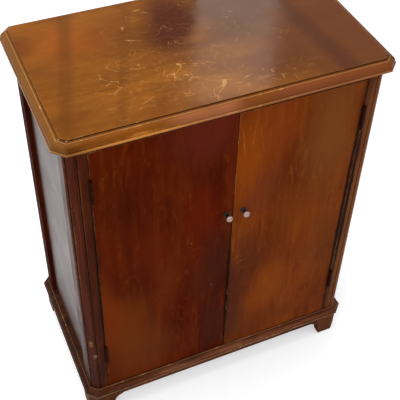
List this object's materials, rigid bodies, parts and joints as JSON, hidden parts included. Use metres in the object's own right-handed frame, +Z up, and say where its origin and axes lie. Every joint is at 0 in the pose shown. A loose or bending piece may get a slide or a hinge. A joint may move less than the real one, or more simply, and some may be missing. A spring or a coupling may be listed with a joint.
{
  "type": "gramophone cabinet",
  "caption": "Floor-standing gramophone cabinet with canted moulded case, lifting lid over a turntable, two plain doors over horn and record store, on bracket feet.",
  "frame": {"origin": "middle of the footprint on the floor", "axes": "+Z up, -Y out of the doors, +X towards the winding side"},
  "size_m": [0.61, 0.3552, 0.756],
  "materials": {
    "mahogany": "worn dark varnish",
    "lid_veneer": "worn golden varnish with scratches",
    "side_veneer": "glossy varnish",
    "left_door_veneer": "dark red-brown varnish",
    "right_door_veneer": "orange-brown varnish",
    "plain_wood": "stained",
    "horn_wood": "bare",
    "dark_knob": "turned and polished",
    "aged_brass": "aged",
    "nickel": "worn nickel plate",
    "steel": "oiled",
    "grey_iron": "grey enamel",
    "green_felt": "felt"
  },
  "bodies": {
    "cabinet": {"front_left_post": "mahogany", "front_right_post": "mahogany", "rear_left_post": "mahogany", "rear_right_post": "mahogany", "left_side_panel": "side_veneer", "right_side_panel": "side_veneer", "back_panel": "plain_wood", "bottom_board": "plain_wood", "top_frame": "mahogany", "plinth_moulding": "mahogany", "base_frame": "mahogany", "bracket_feet": "mahogany", "motor_fascia": "plain_wood", "horn_frame": "plain_wood", "horn_louvres": "mahogany", "horn_top_board": "horn_wood", "horn_floor_board": "horn_wood", "horn_cheeks": "horn_wood", "horn_throat_block": "plain_wood", "horn_elbow": "grey_iron", "record_shelf": "plain_wood", "record_dividers": "plain_wood", "motor_board": "plain_wood", "motor_board_bearers": "plain_wood", "motor_top_plate": "grey_iron", "motor_bottom_plate": "grey_iron", "motor_pillars": "steel", "motor_bolts": "nickel", "motor_bearings": "grey_iron", "tone_arm_base": "nickel", "needle_cup": "aged_brass", "speed_plate": "aged_brass", "winding_escutcheon": "aged_brass", "escutcheon_screws": "aged_brass", "door_hinge_fixed_leaves": "aged_brass", "lid_hinge_fixed_leaves": "aged_brass", "hinge_pins": "aged_brass", "stay_guide": "aged_brass"},
    "lid": {"lid_panel": "lid_veneer", "lid_moulding": "mahogany", "lid_hinge_leaves": "aged_brass", "lid_stay": "aged_brass"},
    "left_door": {"left_door_panel": "left_door_veneer", "left_door_knob": "dark_knob", "left_door_hinge_leaves": "aged_brass"},
    "right_door": {"right_door_panel": "right_door_veneer", "right_door_knob": "dark_knob", "right_door_hinge_leaves": "aged_brass"},
    "turntable": {"turntable_platter": "grey_iron", "turntable_mat": "green_felt", "spindle": "nickel"},
    "tone_arm": {"tone_arm_tube": "nickel"},
    "reproducer": {"sound_box": "nickel"},
    "brake": {"brake_lever": "aged_brass"},
    "speed_control": {"speed_lever": "aged_brass"},
    "intermediate_gear": {"intermediate_wheel": "aged_brass"},
    "barrel": {"spring_barrel": "steel"},
    "arbor": {"barrel_arbor": "steel"},
    "winder": {"winding_shaft": "steel"},
    "governor_shaft": {"governor": "steel"}
  },
  "joints": [
    {"name": "lid_hinge", "type": "hinge", "parent": "cabinet", "child": "lid", "pos_m": [0, 0.1657, 0.7357], "axis": [-1, 0, 0], "range_deg": [0, 66]},
    {"name": "left_door_hinge", "type": "hinge", "parent": "cabinet", "child": "left_door", "pos_m": [-0.2509, -0.1662, 0.402], "axis": [0, 0, -1], "range_deg": [0, 150]},
    {"name": "right_door_hinge", "type": "hinge", "parent": "cabinet", "child": "right_door", "pos_m": [0.2501, -0.167, 0.402], "axis": [0, 0, 1], "range_deg": [0, 150]},
    {"name": "turntable_spin", "type": "hinge", "parent": "cabinet", "child": "turntable", "pos_m": [-0.045, 0.008, 0.6284], "axis": [0, 0, -1], "continuous": true},
    {"name": "tone_arm_swing", "type": "hinge", "parent": "cabinet", "child": "tone_arm", "pos_m": [0.15, 0.119, 0.6474], "axis": [0, 0, -1], "range_deg": [0, 54]},
    {"name": "sound_box_turn", "type": "hinge", "parent": "tone_arm", "child": "reproducer", "pos_m": [0.18832, -0.06127, 0.6834], "axis": [-0.2079, 0.9781, 0], "range_deg": [0, 80]},
    {"name": "brake_swing", "type": "hinge", "parent": "cabinet", "child": "brake", "pos_m": [0.0875, -0.0685, 0.6214], "axis": [0, 0, 1], "range_deg": [0, 25]},
    {"name": "speed_swing", "type": "hinge", "parent": "cabinet", "child": "speed_control", "pos_m": [0.196, 0.078, 0.6214], "axis": [0, 0, 1], "range_deg": [-35, 35]},
    {"name": "intermediate_turn", "type": "hinge", "parent": "cabinet", "child": "intermediate_gear", "pos_m": [-0.009, 0.008, 0.5874], "axis": [0, 0, -1], "continuous": true},
    {"name": "barrel_turn", "type": "hinge", "parent": "cabinet", "child": "barrel", "pos_m": [0.0195, -0.04136, 0.5612], "axis": [0, 0, -1], "continuous": true},
    {"name": "governor_turn", "type": "hinge", "parent": "cabinet", "child": "governor_shaft", "pos_m": [0, 0.03, 0.5624], "axis": [1, 0, 0], "continuous": true},
    {"name": "winding_turn", "type": "hinge", "parent": "cabinet", "child": "winder", "pos_m": [0.2, -0.04136, 0.5904], "axis": [1, 0, 0], "continuous": true},
    {"name": "arbor_turn", "type": "hinge", "parent": "cabinet", "child": "arbor", "pos_m": [0.0195, -0.04136, 0.5712], "axis": [0, 0, 1], "continuous": true}
  ],
  "couplings": [
    {"joint": "intermediate_turn", "follows": "turntable_spin", "ratio": -0.2},
    {"joint": "barrel_turn", "follows": "turntable_spin", "ratio": 0.0375},
    {"joint": "governor_turn", "follows": "turntable_spin", "ratio": 12},
    {"joint": "arbor_turn", "follows": "winding_turn", "ratio": 0.5}
  ]
}
